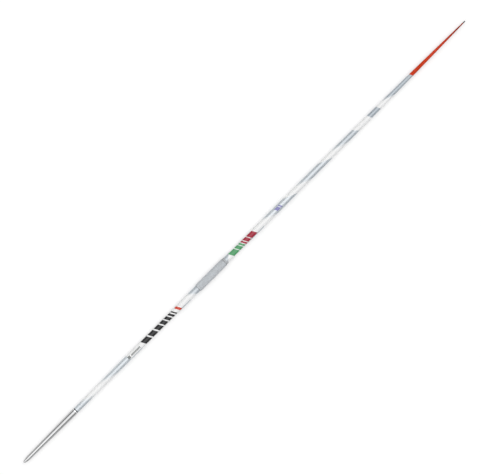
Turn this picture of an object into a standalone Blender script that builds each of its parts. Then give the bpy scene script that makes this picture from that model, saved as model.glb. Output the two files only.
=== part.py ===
"""A women's competition javelin: a steel head, a carbon fibre shaft, a cord grip and a coloured tail.

The shaft is two tapered tubes, joined by a sleeve under the grip. Everything is turned about one axis and
bonded, so nothing moves. Metres, +Z up: the javelin lies along X on its grip, with its nose towards -X.
Distances along it are measured from the tip of the nose.
"""

import math

import bmesh
import bpy
from mathutils import Matrix, Vector

# Lengths along the javelin
OVERALL_LENGTH = 2.250
NOSE_LENGTH = 0.030  # the rounded nose, as far as where the head's long taper begins
POINT_LENGTH = 0.020  # the hard point, from the tip to its seam with the head shell
HEAD_LENGTH = 0.2665
GRIP_FRONT = 0.889  # tip of the nose to the front edge of the cord
CORD_LENGTH = 0.135  # the part of the shaft that the cord covers
BAND_LENGTH = 0.0083  # the tape band behind the cord
TAIL_CONE_LENGTH = 0.275  # the coloured tail, its cap included

# Outside diameters
NOSE_DIAMETER = 0.0160
HEAD_REAR_DIAMETER = 0.0222
SHAFT_FRONT_DIAMETER = 0.0209  # just behind the head
SHAFT_DIAMETER = 0.0250  # the thickest, at the grip
TAIL_ROOT_DIAMETER = 0.0146  # where the tail cone begins
TAIL_END_DIAMETER = 0.0040

# How each taper falls away from its thick end: 1 is a straight cone, more is fuller
HEAD_TAPER = 1.33
FRONT_TAPER = 1.29
REAR_TAPER = 2.55
TAIL_TAPER = 1.08

# Walls
HEAD_WALL = 0.0005
FRONT_TUBE_WALL = 0.0030
REAR_TUBE_WALL = 0.0033
SLEEVE_WALL = 0.0016
TAIL_WALL = 0.0022
PLUG_WALL = 0.0015

# The bond line that every seat keeps, between a piece and what carries it
BOND_GAP = 0.0003

# Head: the point's spigot, the balance slug behind it, and the socket that takes the shaft
POINT_SPIGOT_DIAMETER = 0.0090
POINT_SPIGOT_LENGTH = 0.020
SLUG_LENGTH = 0.006
SOCKET_LENGTH = 0.085
RIM_CHAMFER = 0.0002
PLUG_FLANGE = 0.0020
PLUG_LENGTH = 0.036

# Joints further back
SLEEVE_LENGTH = 0.120
TAIL_SPIGOT_LENGTH = 0.080
TAIL_BORE_DEPTH = 0.180
CAP_LENGTH = 0.010
CAP_PIN_DIAMETER = 0.0020
CAP_PIN_LENGTH = 0.012
CAP_CHAMFER = 0.0003

# Damping plugs inside the shaft, by the middle of each
DAMPER_LENGTH = 0.030
FRONT_DAMPER_AT = 0.560
REAR_DAMPER_AT = 1.500

# Grip: an underlay of tape, the cord wound on it, and the tape band
TAPE_THICKNESS = 0.0003
CORD_THICKNESS = 0.0019
CORD_BREADTH = 0.00495  # two strands side by side
CORD_GAP = 0.00045  # between one turn and the next
CORD_POINTS = 24  # points in one turn
CORD_FLAT = 0.1  # share of the cord's thickness that is cut flat where the javelin lies on it

# Facets round a turned piece, and sections along a long taper
FACETS = 32
SECTIONS = 9

# Places worked out from the sizes
GRIP_REAR = GRIP_FRONT + CORD_LENGTH + BOND_GAP + BAND_LENGTH
TUBE_JOINT = GRIP_FRONT + CORD_LENGTH / 2
TUBE_FRONT = HEAD_LENGTH - SOCKET_LENGTH
TAIL_FRONT = OVERALL_LENGTH - TAIL_CONE_LENGTH
CAP_FRONT = OVERALL_LENGTH - CAP_LENGTH
CAVITY_FRONT = POINT_LENGTH + BOND_GAP + POINT_SPIGOT_LENGTH
TAPE_RADIUS = SHAFT_DIAMETER / 2 + BOND_GAP  # the inside of the tape
CORD_RADIUS = TAPE_RADIUS + TAPE_THICKNESS + BOND_GAP + CORD_THICKNESS / 2  # to the middle of the cord
HALF_STEP = math.pi / CORD_POINTS
# The middle of a facet is a little nearer the axis than its corners
CORD_UNDERSIDE = CORD_RADIUS * math.cos(HALF_STEP) + CORD_THICKNESS / 2
AXIS_HEIGHT = CORD_UNDERSIDE - CORD_FLAT * CORD_THICKNESS

PAINTED_CARBON = ("painted_carbon", (0.86, 0.87, 0.88), 0.18, 0.0)
RED_CARBON = ("red_carbon", (0.72, 0.09, 0.05), 0.22, 0.0)
BRIGHT_STEEL = ("bright_steel", (0.72, 0.73, 0.74), 0.22, 1.0)
BRASS = ("brass", (0.78, 0.60, 0.28), 0.35, 1.0)
BARE_CARBON = ("bare_carbon", (0.04, 0.04, 0.045), 0.35, 0.0)
DARK_CAP = ("dark_cap", (0.10, 0.10, 0.11), 0.40, 0.0)
NYLON = ("nylon", (0.75, 0.74, 0.70), 0.50, 0.0)
FOAM_RUBBER = ("foam_rubber", (0.16, 0.16, 0.17), 0.90, 0.0)
GREY_TAPE = ("grey_tape", (0.47, 0.49, 0.50), 0.60, 0.0)
GREY_CORD = ("grey_cord", (0.55, 0.57, 0.59), 0.80, 0.0)


def clear_scene():
    for thing in list(bpy.data.objects):
        bpy.data.objects.remove(thing)


def collection(name):
    made = bpy.data.collections.new(name)
    bpy.context.scene.collection.children.link(made)
    return made


def material(finish):
    name, colour, roughness, metallic = finish
    made = bpy.data.materials.get(name) or bpy.data.materials.new(name)
    made.use_nodes = True
    shader = made.node_tree.nodes["Principled BSDF"]
    shader.inputs["Base Color"].default_value = (*colour, 1)
    shader.inputs["Roughness"].default_value = roughness
    shader.inputs["Metallic"].default_value = metallic
    made.diffuse_color = (*colour, 1)
    return made


def shade(mesh, finish):
    """Smooth round the turned sides, crisp at the corners."""
    mesh.shade_smooth()
    mesh.set_sharp_from_angle(angle=math.radians(35))
    mesh.materials.clear()
    mesh.materials.append(material(finish))


def evaluated_mesh(thing):
    bpy.context.view_layer.update()
    graph = bpy.context.evaluated_depsgraph_get()
    return bpy.data.meshes.new_from_object(thing.evaluated_get(graph))


# Outside and inside shapes of the tapers


def tapered(thick, thin, share, fullness):
    return (thick - (thick - thin) * share**fullness) / 2


def head_radius(at):
    if at >= NOSE_LENGTH:
        share = (HEAD_LENGTH - at) / (HEAD_LENGTH - NOSE_LENGTH)
        return tapered(HEAD_REAR_DIAMETER, NOSE_DIAMETER, max(share, 0), HEAD_TAPER)
    # An ellipse, cut a tenth short of its widest so that it runs on into the taper
    full_length = 1.1 * NOSE_LENGTH
    full_radius = NOSE_DIAMETER / 2 / math.sqrt(1 - (1 - NOSE_LENGTH / full_length) ** 2)
    return full_radius * math.sqrt(max(1 - (1 - at / full_length) ** 2, 0))


def shaft_radius(at):
    if at < GRIP_FRONT:
        share = (GRIP_FRONT - at) / (GRIP_FRONT - HEAD_LENGTH)
        return tapered(SHAFT_DIAMETER, SHAFT_FRONT_DIAMETER, share, FRONT_TAPER)
    if at <= GRIP_REAR:
        return SHAFT_DIAMETER / 2
    if at <= TAIL_FRONT:
        share = (at - GRIP_REAR) / (TAIL_FRONT - GRIP_REAR)
        return tapered(SHAFT_DIAMETER, TAIL_ROOT_DIAMETER, share, REAR_TAPER)
    share = (at - TAIL_FRONT) / TAIL_CONE_LENGTH
    return tapered(TAIL_ROOT_DIAMETER, TAIL_END_DIAMETER, share, TAIL_TAPER)


def head_bore(at):
    return head_radius(at) - HEAD_WALL


def front_bore(at):
    return shaft_radius(at) - FRONT_TUBE_WALL


def rear_bore(at):
    return shaft_radius(at) - REAR_TUBE_WALL


def tail_bore(at):
    return shaft_radius(at) - TAIL_WALL


def run(radius_at, start, end, sections=SECTIONS, inset=0.0):
    """Points of an outline along one taper, from start to end."""
    stations = [start + (end - start) * step / sections for step in range(sections + 1)]
    return [(at, radius_at(at) - inset) for at in stations]


# Turned pieces


def turned(name, outline, finish, axis, parts):
    """Spins an outline of (distance, radius) points, listed from the nose back along the outside."""
    profile = bpy.data.meshes.new(name + "_profile")
    corners = [(radius, 0, at) for at, radius in reversed(outline)]
    edges = [(i, i + 1) for i in range(len(corners) - 1)]
    if outline[0][1] > 0:  # it has a bore, so the outline closes on itself
        edges.append((len(corners) - 1, 0))
    profile.from_pydata(corners, edges, [])
    thing = bpy.data.objects.new(name, profile)
    parts.objects.link(thing)
    spin = thing.modifiers.new("spin", "SCREW")
    spin.axis = "Z"
    spin.angle = 2 * math.pi
    spin.steps = spin.render_steps = FACETS
    spin.use_merge_vertices = True
    spin.merge_threshold = 0.00001
    thing.data = evaluated_mesh(thing)
    thing.modifiers.clear()
    bpy.data.meshes.remove(profile)
    thing.data.name = name
    thing.parent = axis
    shade(thing.data, finish)
    return thing


def head_point(axis, parts):
    spigot = POINT_SPIGOT_DIAMETER / 2
    # Stations crowd towards the tip, where the nose rounds off
    nose = [POINT_LENGTH * (step / SECTIONS) ** 2 for step in range(SECTIONS + 1)]
    outline = [(at, head_radius(at)) for at in nose]
    outline += [(POINT_LENGTH, spigot), (POINT_LENGTH + POINT_SPIGOT_LENGTH, spigot)]
    outline += [(POINT_LENGTH + POINT_SPIGOT_LENGTH, 0)]
    turned("head_point", outline, BRIGHT_STEEL, axis, parts)


def head_shell(axis, parts):
    """A thin tapered shell: solid round the point's spigot, then hollow, and open behind for the shaft."""
    front = POINT_LENGTH + BOND_GAP
    seat = POINT_SPIGOT_DIAMETER / 2 + BOND_GAP
    rim = head_radius(HEAD_LENGTH)
    outline = run(head_radius, front, NOSE_LENGTH, 3)[:-1]
    outline += run(head_radius, NOSE_LENGTH, HEAD_LENGTH - RIM_CHAMFER)
    outline += [(HEAD_LENGTH, rim - RIM_CHAMFER)]
    outline += run(head_bore, HEAD_LENGTH, CAVITY_FRONT)
    outline += [(CAVITY_FRONT, seat), (front, seat)]
    turned("head_shell", outline, BRIGHT_STEEL, axis, parts)


def balance_slug(axis, parts):
    front = CAVITY_FRONT + BOND_GAP
    sides = run(head_bore, front, front + SLUG_LENGTH, 2, BOND_GAP)
    outline = [(front, 0), *sides, (front + SLUG_LENGTH, 0)]
    turned("head_balance_slug", outline, BRASS, axis, parts)


def shaft_nose_plug(axis, parts):
    """Closes the front of the shaft: a flange on the tube's end, and a cup inside it."""
    flange_rear = TUBE_FRONT - BOND_GAP
    flange_front = flange_rear - PLUG_FLANGE
    cup_end = flange_rear + PLUG_LENGTH
    cup = run(front_bore, flange_rear, cup_end, 3, BOND_GAP)
    hollow = run(front_bore, cup_end, flange_rear + PLUG_FLANGE, 3, BOND_GAP + PLUG_WALL)
    flange = head_bore(flange_front) - BOND_GAP
    outline = [(flange_front, 0), (flange_front, flange), (flange_rear, flange)]
    outline += [*cup, *hollow, (hollow[-1][0], 0)]
    turned("shaft_nose_plug", outline, NYLON, axis, parts)


def front_shaft(axis, parts):
    """The front tube: its nose is turned down to sit in the head's socket."""
    shoulder = HEAD_LENGTH + BOND_GAP
    joint = TUBE_JOINT - BOND_GAP / 2
    outline = run(head_bore, TUBE_FRONT, HEAD_LENGTH, 4, BOND_GAP)
    outline += [(shoulder, outline[-1][1])]
    outline += run(shaft_radius, shoulder, GRIP_FRONT)
    outline += [(joint, SHAFT_DIAMETER / 2), (joint, front_bore(joint))]
    outline += run(front_bore, GRIP_FRONT, TUBE_FRONT)
    turned("front_shaft", outline, PAINTED_CARBON, axis, parts)


def rear_shaft(axis, parts):
    joint = TUBE_JOINT + BOND_GAP / 2
    end = TAIL_FRONT - BOND_GAP / 2
    outline = [(joint, SHAFT_DIAMETER / 2)]
    outline += run(shaft_radius, GRIP_REAR, end)
    outline += run(rear_bore, end, GRIP_REAR)
    outline += [(joint, rear_bore(joint))]
    turned("rear_shaft", outline, PAINTED_CARBON, axis, parts)


def centre_sleeve(axis, parts):
    """Joins the two tubes under the grip, each half turned to fit its own tube's bore."""
    front = TUBE_JOINT - SLEEVE_LENGTH / 2
    rear = TUBE_JOINT + SLEEVE_LENGTH / 2
    bore = min(front_bore(TUBE_JOINT), rear_bore(TUBE_JOINT)) - BOND_GAP - SLEEVE_WALL
    outline = run(front_bore, front, TUBE_JOINT - BOND_GAP, 3, BOND_GAP)
    outline += run(rear_bore, TUBE_JOINT + BOND_GAP, rear, 3, BOND_GAP)
    outline += [(rear, bore), (front, bore)]
    turned("centre_sleeve", outline, BARE_CARBON, axis, parts)


def damper(name, bore, middle, axis, parts):
    front = middle - DAMPER_LENGTH / 2
    rear = middle + DAMPER_LENGTH / 2
    outline = [(front, 0), *run(bore, front, rear, 2, BOND_GAP), (rear, 0)]
    turned(name, outline, FOAM_RUBBER, axis, parts)


def tail_spigot(axis, parts):
    """Joins the rear tube to the tail cone, and fits the bore of each."""
    front = TAIL_FRONT - TAIL_SPIGOT_LENGTH / 2
    rear = TAIL_FRONT + TAIL_SPIGOT_LENGTH / 2
    outline = [(front, 0)]
    outline += run(rear_bore, front, TAIL_FRONT - BOND_GAP, 3, BOND_GAP)
    outline += run(tail_bore, TAIL_FRONT + BOND_GAP, rear, 3, BOND_GAP)
    outline += [(rear, 0)]
    turned("tail_spigot", outline, BARE_CARBON, axis, parts)


def tail_cone(axis, parts):
    """The coloured end: hollow, with a narrow seat right through its tip for the cap's pin."""
    front = TAIL_FRONT + BOND_GAP / 2
    rear = CAP_FRONT - BOND_GAP
    pin_seat = CAP_PIN_DIAMETER / 2 + BOND_GAP
    floor = TAIL_FRONT + TAIL_BORE_DEPTH
    outline = run(shaft_radius, front, rear)
    outline += [(rear, pin_seat), (floor, pin_seat)]
    outline += run(tail_bore, floor, front, 6)
    turned("tail_cone", outline, RED_CARBON, axis, parts)


def tail_cap(axis, parts):
    """The turned end of the tail, on a pin that goes into the cone."""
    pin = CAP_PIN_DIAMETER / 2
    chamfer_start = OVERALL_LENGTH - CAP_CHAMFER
    outline = [(CAP_FRONT - CAP_PIN_LENGTH, 0), (CAP_FRONT - CAP_PIN_LENGTH, pin), (CAP_FRONT, pin)]
    outline += run(shaft_radius, CAP_FRONT, chamfer_start, 2)
    outline += [(OVERALL_LENGTH, shaft_radius(chamfer_start) - CAP_CHAMFER), (OVERALL_LENGTH, 0)]
    turned("tail_cap", outline, DARK_CAP, axis, parts)


# The grip


def tape_ring(name, front, rear, axis, parts):
    outside = TAPE_RADIUS + TAPE_THICKNESS
    outline = [(front, outside), (rear, outside), (rear, TAPE_RADIUS), (front, TAPE_RADIUS)]
    turned(name, outline, GREY_TAPE, axis, parts)


def cord_path():
    """The middle of the cord, turn after turn, with a straight end one thickness long at each end."""
    turns = int((CORD_LENGTH - CORD_BREADTH) / (CORD_BREADTH + CORD_GAP))
    pitch = (CORD_LENGTH - CORD_BREADTH) / turns
    first = GRIP_FRONT + CORD_BREADTH / 2
    path = []
    for step in range(turns * CORD_POINTS + 1):
        angle = 2 * math.pi * step / CORD_POINTS + HALF_STEP
        at = first + pitch * step / CORD_POINTS
        path.append(Vector((CORD_RADIUS * math.cos(angle), CORD_RADIUS * math.sin(angle), at)))
    lead_in = path[0] + (path[0] - path[1]).normalized() * CORD_THICKNESS
    lead_out = path[-1] + (path[-1] - path[-2]).normalized() * CORD_THICKNESS
    return [lead_in, *path, lead_out]


def least_cord_gap(path):
    """The narrowest space between a point of the cord and the turns beside it."""
    nearest = min(
        (path[i] - path[j]).length
        for i in range(len(path))
        for j in range(i + CORD_POINTS // 2, min(i + 2 * CORD_POINTS, len(path)))
    )
    return nearest - CORD_BREADTH


def swept_cord(path, axis, parts):
    """A six-sided cord along the path, with a flat side inwards and one outwards."""
    corner = CORD_THICKNESS / 2 / math.cos(math.pi / 6)
    stretch = CORD_BREADTH / (2 * corner)  # along the javelin, which makes the cord broad
    curve = bpy.data.curves.new("grip_cord_path", "CURVE")
    curve.dimensions = "3D"
    curve.twist_mode = "Z_UP"
    curve.bevel_depth = corner
    curve.bevel_resolution = 1
    curve.use_fill_caps = True
    spline = curve.splines.new("POLY")
    spline.points.add(len(path) - 1)
    for point, place in zip(spline.points, path):
        point.co = (place.x, place.y, place.z / stretch, 1)
        point.tilt = math.pi / 6
    strand = bpy.data.objects.new("grip_cord_path", curve)
    parts.objects.link(strand)
    mesh = evaluated_mesh(strand)
    bpy.data.objects.remove(strand)
    bpy.data.curves.remove(curve)

    # The caps come loose from the sides, so they are welded on
    body = bmesh.new()
    body.from_mesh(mesh)
    bmesh.ops.remove_doubles(body, verts=body.verts, dist=0.00001)
    body.to_mesh(mesh)
    body.free()
    mesh.transform(Matrix.Diagonal((1, 1, stretch, 1)))
    cord = bpy.data.objects.new("grip_cord", mesh)
    parts.objects.link(cord)
    cord.parent = axis
    shade(mesh, GREY_CORD)
    return cord


def grip_cord(axis, parts, cutters):
    """One unbroken cord, wound side by side, and cut flat where the javelin lies on it."""
    path = cord_path()
    print(f"grip cord: least gap to itself {least_cord_gap(path) * 1000:.2f} mm")
    cord = swept_cord(path, axis, parts)

    bpy.ops.mesh.primitive_cube_add(size=1)
    floor = bpy.context.object
    floor.name = "floor_cutter"
    for holder in list(floor.users_collection):
        holder.objects.unlink(floor)
    cutters.objects.link(floor)
    floor.data.transform(Matrix.Diagonal((2 * CORD_LENGTH, 2 * SHAFT_DIAMETER, SHAFT_DIAMETER, 1)))
    floor.location = (axis.location.x + GRIP_FRONT + CORD_LENGTH / 2, 0, -SHAFT_DIAMETER / 2)
    floor.hide_render = True
    floor.display_type = "WIRE"
    cut = cord.modifiers.new("rest_flat", "BOOLEAN")
    cut.operation = "DIFFERENCE"
    cut.object = floor


def main():
    clear_scene()
    parts = collection("javelin")
    cutters = collection("cutters")
    axis = bpy.data.objects.new("javelin_axis", None)
    parts.objects.link(axis)
    axis.location = (-OVERALL_LENGTH / 2, 0, AXIS_HEIGHT)
    axis.rotation_euler = (0, math.pi / 2, 0)  # local Z runs from the nose to the tail

    head_point(axis, parts)
    head_shell(axis, parts)
    balance_slug(axis, parts)
    shaft_nose_plug(axis, parts)
    front_shaft(axis, parts)
    damper("front_damper", front_bore, FRONT_DAMPER_AT, axis, parts)
    centre_sleeve(axis, parts)
    rear_shaft(axis, parts)
    damper("rear_damper", rear_bore, REAR_DAMPER_AT, axis, parts)
    tail_spigot(axis, parts)
    tail_cone(axis, parts)
    tail_cap(axis, parts)
    tape_ring("grip_underlay", GRIP_FRONT, GRIP_FRONT + CORD_LENGTH, axis, parts)
    tape_ring("grip_rear_band", GRIP_FRONT + CORD_LENGTH + BOND_GAP, GRIP_REAR, axis, parts)
    grip_cord(axis, parts, cutters)


main()
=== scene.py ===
import math

import bmesh
import bpy
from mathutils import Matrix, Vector


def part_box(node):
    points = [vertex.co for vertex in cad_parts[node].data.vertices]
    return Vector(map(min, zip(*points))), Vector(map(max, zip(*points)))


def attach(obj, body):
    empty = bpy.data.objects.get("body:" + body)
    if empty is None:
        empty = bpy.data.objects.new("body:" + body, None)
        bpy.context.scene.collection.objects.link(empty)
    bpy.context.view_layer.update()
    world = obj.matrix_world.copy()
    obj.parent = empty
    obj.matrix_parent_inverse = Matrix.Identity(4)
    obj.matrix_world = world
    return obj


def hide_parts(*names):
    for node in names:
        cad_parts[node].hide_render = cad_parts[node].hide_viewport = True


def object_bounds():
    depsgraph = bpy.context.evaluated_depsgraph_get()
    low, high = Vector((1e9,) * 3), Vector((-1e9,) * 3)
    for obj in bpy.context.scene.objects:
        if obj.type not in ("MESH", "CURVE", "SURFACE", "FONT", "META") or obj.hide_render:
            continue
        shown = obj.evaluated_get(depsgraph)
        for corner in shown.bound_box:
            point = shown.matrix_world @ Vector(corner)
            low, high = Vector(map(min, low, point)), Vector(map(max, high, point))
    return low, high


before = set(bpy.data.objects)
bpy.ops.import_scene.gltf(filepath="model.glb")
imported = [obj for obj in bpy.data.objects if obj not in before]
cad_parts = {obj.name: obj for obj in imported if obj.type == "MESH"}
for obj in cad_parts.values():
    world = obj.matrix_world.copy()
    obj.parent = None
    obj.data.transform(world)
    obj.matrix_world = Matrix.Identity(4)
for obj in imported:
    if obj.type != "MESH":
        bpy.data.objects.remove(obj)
cadLow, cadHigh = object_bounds()
tubeLow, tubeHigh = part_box("front_shaft")
noseX = cadLow.x  # every piece is laid out by its distance from the tip of the nose
axisZ = (tubeLow.z + tubeHigh.z) / 2
print(f"frame loaded, the javelin's axis is {axisZ * 1000:.2f} mm up")

# The javelin's outline, in metres and as diameters
javelin = {
    "noseEnd": 0.030,
    "pointEnd": 0.020,
    "headEnd": 0.2665,
    "gripStart": 0.889,
    "cordLength": 0.135,
    "gripEnd": 1.0326,
    "tailStart": 1.975,
    "capStart": 2.240,
    "length": cadHigh.x - cadLow.x,
    "noseWidth": 0.0160,
    "headWidth": 0.0222,
    "shaftFrontWidth": 0.0209,
    "shaftWidth": 0.0250,
    "tailWidth": 0.0146,
    "endWidth": 0.0040,
    "headFullness": 1.33,  # 1 is a straight cone, more is fuller
    "frontFullness": 1.29,
    "rearFullness": 2.55,
    "tailFullness": 1.08,
    "bondGap": 0.0003,
    "seam": 0.00006,  # the hairline where two outer pieces meet
}
jointAt = javelin["gripStart"] + javelin["cordLength"] / 2  # where the two tubes meet


def taper(thick, thin, share, fullness):
    return (thick - (thick - thin) * max(share, 0) ** fullness) / 2


def headRadius(at):
    j = javelin
    if at >= j["noseEnd"]:
        share = (j["headEnd"] - at) / (j["headEnd"] - j["noseEnd"])
        return taper(j["headWidth"], j["noseWidth"], share, j["headFullness"])
    ovalLength = 1.1 * j["noseEnd"]
    ovalRadius = j["noseWidth"] / 2 / math.sqrt(1 - (1 - j["noseEnd"] / ovalLength) ** 2)
    return ovalRadius * math.sqrt(max(1 - (1 - at / ovalLength) ** 2, 0))


def shaftRadius(at):
    j = javelin
    if at < j["gripStart"]:
        share = (j["gripStart"] - at) / (j["gripStart"] - j["headEnd"])
        return taper(j["shaftWidth"], j["shaftFrontWidth"], share, j["frontFullness"])
    if at <= j["gripEnd"]:
        return j["shaftWidth"] / 2
    if at <= j["tailStart"]:
        share = (at - j["gripEnd"]) / (j["tailStart"] - j["gripEnd"])
        return taper(j["shaftWidth"], j["tailWidth"], share, j["rearFullness"])
    share = (at - j["tailStart"]) / (j["length"] - j["tailStart"])
    return taper(j["tailWidth"], j["endWidth"], share, j["tailFullness"])


# Shading: a socket that does sums, and a finish that holds one material's nodes


class Wire:
    def __init__(self, nodes, socket):
        self.nodes, self.socket = nodes, socket

    def __add__(self, other):
        return self.nodes.math("ADD", self, other)

    def __radd__(self, other):
        return self.nodes.math("ADD", other, self)

    def __sub__(self, other):
        return self.nodes.math("SUBTRACT", self, other)

    def __rsub__(self, other):
        return self.nodes.math("SUBTRACT", other, self)

    def __mul__(self, other):
        return self.nodes.math("MULTIPLY", self, other)

    def __rmul__(self, other):
        return self.nodes.math("MULTIPLY", other, self)

    def __truediv__(self, other):
        return self.nodes.math("DIVIDE", self, other)

    def __mod__(self, other):
        return self.nodes.math("FLOORED_MODULO", self, other)

    def __gt__(self, other):
        return self.nodes.math("GREATER_THAN", self, other)

    def __lt__(self, other):
        return self.nodes.math("LESS_THAN", self, other)

    def __abs__(self):
        return self.nodes.math("ABSOLUTE", self)

    def sine(self):
        return self.nodes.math("SINE", self)

    def most(self, other):
        return self.nodes.math("MAXIMUM", self, other)


class Nodes:
    def __init__(self, tree):
        self.tree = tree
        tree.nodes.clear()

    def node(self, kind, settings=None, values=None, output=0):
        made = self.tree.nodes.new(kind)
        for setting, value in (settings or {}).items():
            setattr(made, setting, value)
        for socket, value in (values or {}).items():
            if isinstance(value, Wire):
                self.tree.links.new(value.socket, made.inputs[socket])
            else:
                made.inputs[socket].default_value = value
        return Wire(self, made.outputs[output]) if made.outputs else None

    def math(self, operation, *values):
        return self.node("ShaderNodeMath", {"operation": operation}, dict(enumerate(values)))

    def ease(self, value, low, high, fromValue=0.0, toValue=1.0):
        values = {0: value, 1: low, 2: high, 3: fromValue, 4: toValue}
        return self.node("ShaderNodeMapRange", {"interpolation_type": "SMOOTHSTEP"}, values)


class Finish(Nodes):
    # fixed values go straight on the shader's own sockets
    def __init__(self, name, **fixed):
        self.material = bpy.data.materials.new(name)
        self.material.use_nodes = True
        super().__init__(self.material.node_tree)
        self.shader = self.tree.nodes.new("ShaderNodeBsdfPrincipled")
        output = self.tree.nodes.new("ShaderNodeOutputMaterial")
        self.tree.links.new(self.shader.outputs[0], output.inputs[0])
        for socket, value in fixed.items():
            self.shader.inputs[socket.replace("_", " ")].default_value = value
        self.place = self.node("ShaderNodeTexCoord", output="Object")
        x, y, z = (
            self.node("ShaderNodeSeparateXYZ", values={0: self.place}, output=axis)
            for axis in "XYZ"
        )
        self.along = x * 1000 - noseX * 1000  # millimetres from the tip of the nose
        self.side = y * -1000  # millimetres towards the photograph's lower right
        self.up = z * 1000 - axisZ * 1000
        self.turn = self.math("ARCTAN2", self.side, self.up)  # 0 on top

    def noise(self, size, detail=2.0, stretch=(1, 1, 1), at=(0, 0, 0)):
        # size is the grain in millimetres, and stretch draws it out along x, y and z
        scale = tuple(1000 / size / s for s in stretch)
        moved = self.node(
            "ShaderNodeMapping", values={"Vector": self.place, "Scale": scale, "Location": at}
        )
        values = {"Vector": moved, "Scale": 1.0, "Detail": detail}
        return self.node("ShaderNodeTexNoise", values=values)

    def cells(self, size):
        values = {"Vector": self.place, "Scale": 1000 / size}
        return self.node("ShaderNodeTexVoronoi", values=values, output="Distance")

    def within(self, value, reach, soft):
        # 1 where the value lies no further than reach from 0, with an edge this soft
        return self.ease(abs(value), reach + soft, reach - soft)

    def mix(self, share, first, second, blend="MIX"):
        first, second = (c if isinstance(c, Wire) else (*c, 1) for c in (first, second))
        settings = {"data_type": "RGBA", "blend_type": blend}
        return self.node("ShaderNodeMix", settings, {0: share, 6: first, 7: second}, 2)

    def bump(self, height, depth):
        # depth in millimetres for a height that goes from 0 to 1
        values = {"Strength": 1.0, "Distance": depth / 1000, "Height": height}
        return self.node("ShaderNodeBump", values=values)

    def wear(self, **sockets):
        for socket, wire in sockets.items():
            self.tree.links.new(wire.socket, self.shader.inputs[socket.replace("_", " ")])
        return self.material


# Painted tubes: gloss white with silver bands, under one clear coat

shaftPaint = {
    "white": (0.810, 0.815, 0.815),
    "paleSilver": (0.595, 0.640, 0.677),
    "deepSilver": (0.270, 0.322, 0.370),
    "red": (0.56, 0.034, 0.001),
    "redFrom": (1971.0, 1978.5),
    "redSoft": 0.15,
    "flakeSize": 0.35,
    "flakeShare": 0.12,
    # each band: where it starts and ends on the photograph's upper-left and lower-right edges, in
    # millimetres from the nose, how softly it starts and ends, and how deep its silver is along the
    # top and down the sides, where the extra depth down the sides is painted shade
    "bands": [
        {"start": (250, 250), "end": (303, 350), "soft": (1, 26), "depth": (0.10, 1.0)},
        {"start": (398, 466), "end": (533, 541), "soft": (20, 3), "depth": (0.08, 0.62)},
        {"start": (846, 872), "end": (1058, 1030), "soft": (10, 3), "depth": (0.35, 1.0)},
        {"start": (1229, 1279), "end": (1331, 1387), "soft": (14, 3), "depth": (0.0, 1.0)},
        {"start": (1402, 1456), "end": (1510, 1567), "soft": (14, 3), "depth": (0.15, 1.0)},
        {"start": (1582, 1640), "end": (1683, 1702), "soft": (22, 2), "depth": (0.36, 1.0)},
        {"start": (1757, 1766), "end": (1804, 1813), "soft": (3, 2), "depth": (0.78, 1.0)},
        {"start": (1838, 1880), "end": (1990, 1990), "soft": (12, 2), "depth": (0.70, 0.96)},
    ],
    # painted shade: how the silver deepens down both sides, and down the lower-right one, which
    # faces
    # away from the light: where it begins and ends, as shares of the radius, and how much of the
    # depth it brings
    "shadeDownSides": (0.50, 0.95, 0.7),
    "shadeDownRight": (0.35, 0.85, 0.3),
    # short silver streaks on the lower-right edge only
    "edgeStreaks": [{"from": 541, "to": 597}, {"from": 788, "to": 842}, {"from": 1148, "to": 1216}],
    "streakEdge": (0.62, 0.86),
    "streakSoft": (4, 3),
    "streakDepth": 0.9,
    "sealAndShade": (0.04, 0.04, 0.045),  # a bead of dark adhesive behind the head, drawn wide as painted shade for the step at the joint
    "sealAndShadeEnd": 269.0,
    # slanted bars across the top: how far a set reaches to each side, and where each of its bars
    # starts and how wide it is
    "barSlant": 0.55,
    "barSoft": 0.12,
    "bars": [
        {
            "colour": "black",
            "reach": 10.2,
            "spans": [(611, 30), (647, 26), (679, 22), (706, 18), (729, 14), (748, 10), (763, 6)],
        },
        {"colour": "red", "reach": 10.2, "spans": [(782, 11)]},
        {"colour": "green", "reach": 10.4, "spans": [(1058, 28), (1089, 16), (1108, 8)]},
        {"colour": "crimson", "reach": 10.4, "spans": [(1119, 8), (1130, 16), (1149, 28)]},
        {"colour": "violet", "reach": 6.2, "spans": [(1286, 16), (1305, 6)]},
    ],
    # a block and a row of ticks along the top, with their middle this far to the side
    "ticksSide": 0.8,
    "tickSoft": 0.1,
    "ticks": [
        {"from": 532.5, "to": 544.0, "width": 10.0, "pitch": 11.5, "mark": 11.5, "ink": 0.80},
        {"from": 549.0, "to": 594.0, "width": 6.4, "pitch": 3.75, "mark": 2.95, "ink": 0.90},
    ],
    "colours": {
        "black": (0.012, 0.012, 0.014),
        "grey": (0.060, 0.075, 0.070),
        "red": (0.56, 0.050, 0.022),
        "green": (0.080, 0.32, 0.135),
        "crimson": (0.34, 0.018, 0.040),
        "violet": (0.23, 0.22, 0.46),
    },
}


def redTail(finish):
    first, last = shaftPaint["redFrom"]
    line = (first + last) / 2 + finish.side * ((last - first) / javelin["tailWidth"] / 1000)
    return finish.ease(finish.along - line, -shaftPaint["redSoft"], shaftPaint["redSoft"])


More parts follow.
